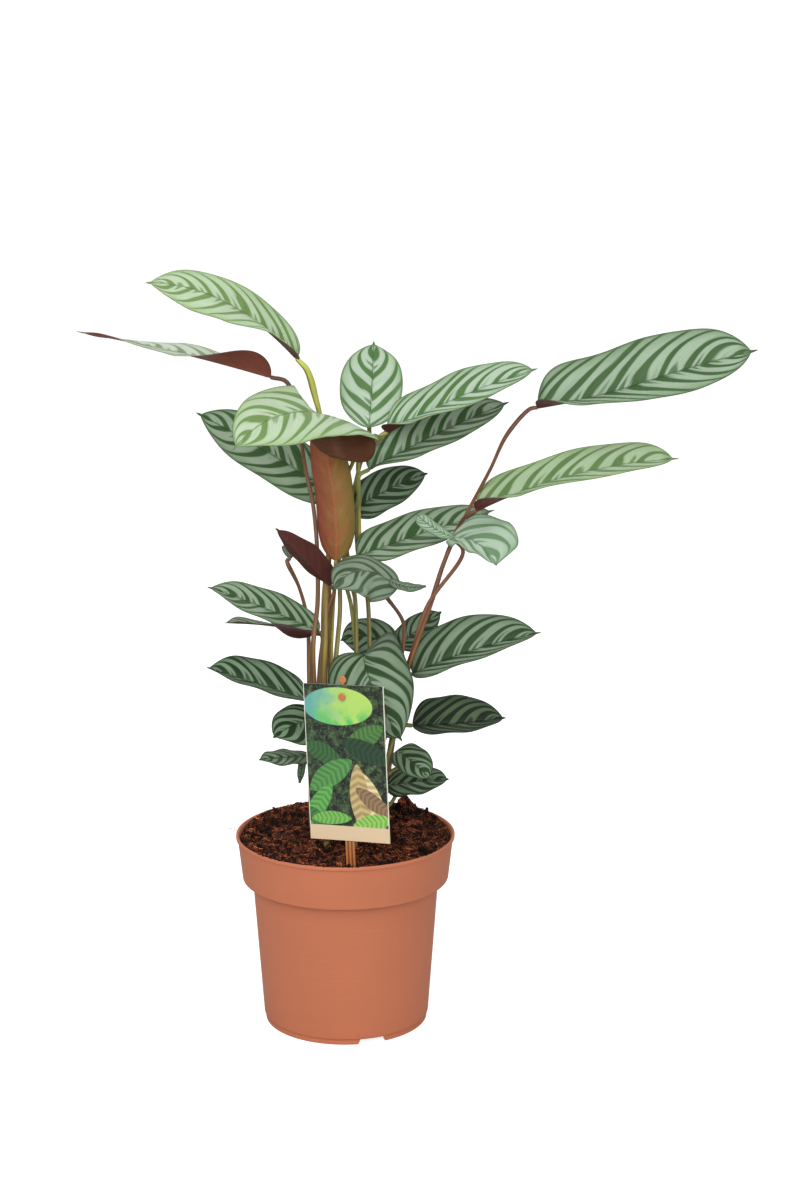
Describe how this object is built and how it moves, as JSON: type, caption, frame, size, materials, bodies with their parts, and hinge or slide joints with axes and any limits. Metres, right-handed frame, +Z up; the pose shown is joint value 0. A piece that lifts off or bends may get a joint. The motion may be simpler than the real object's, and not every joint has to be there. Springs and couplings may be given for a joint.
{
  "type": "potted plant",
  "caption": "Potted prayer plant: long pointed leaves with a herringbone pattern on thin cane-like stalks, in a round nursery pot of soil with a care card on a stake.",
  "frame": {"origin": "on the pot's axis, in the plane that the pot stands on", "axes": "+Z up along the pot's axis; +X to the right and -Y towards the viewer, who has the care card in front"},
  "size_m": [0.4982, 0.2076, 0.5877],
  "materials": {
    "pot": "matt terracotta-coloured plastic",
    "soil": "dark brown coir and peat",
    "card": "printed plastic card, satin",
    "stake": "amber plastic, glossy",
    "petiole": "smooth brown to olive stalks",
    "leaf": "satin leaf with darker bands and a thin dark edge"
  },
  "bodies": {
    "root": {"pot": "pot", "soil": "soil", "tag_card": "card", "tag_stake": "stake", "shoot_back_left": "petiole", "shoot_left": "petiole", "shoot_cane": "petiole", "shoot_dark": "petiole", "shoot_olive": "petiole", "shoot_middle": "petiole", "shoot_right_up": "petiole", "shoot_curled_front": "petiole", "shoot_bundle": "petiole", "shoot_broad_right": "petiole", "shoot_low_right": "petiole", "shoot_heart": "petiole", "shoot_low_left": "petiole", "leaf_top_left": "leaf", "leaf_long_left": "leaf", "leaf_dark_left": "leaf", "leaf_arched_front": "leaf", "leaf_upright": "leaf", "leaf_crown_right": "leaf", "leaf_under_right": "leaf", "leaf_small_inner": "leaf", "leaf_wine_back": "leaf", "leaf_mid_right": "leaf", "leaf_curled_right": "leaf", "leaf_curled_front": "leaf", "leaf_mid_left": "leaf", "leaf_edge_left": "leaf", "leaf_low_left": "leaf", "leaf_behind_card": "leaf", "leaf_lowest_left": "leaf", "leaf_heart_front": "leaf", "leaf_heart_behind": "leaf", "leaf_tucked_right": "leaf", "leaf_broad_right": "leaf", "leaf_low_right": "leaf", "leaf_small_low_right": "leaf", "leaf_lowest_right": "leaf", "leaf_high_right": "leaf", "leaf_reaching_right": "leaf", "leaf_rolled": "leaf", "leaf_back_left": "leaf"}
  },
  "joints": []
}
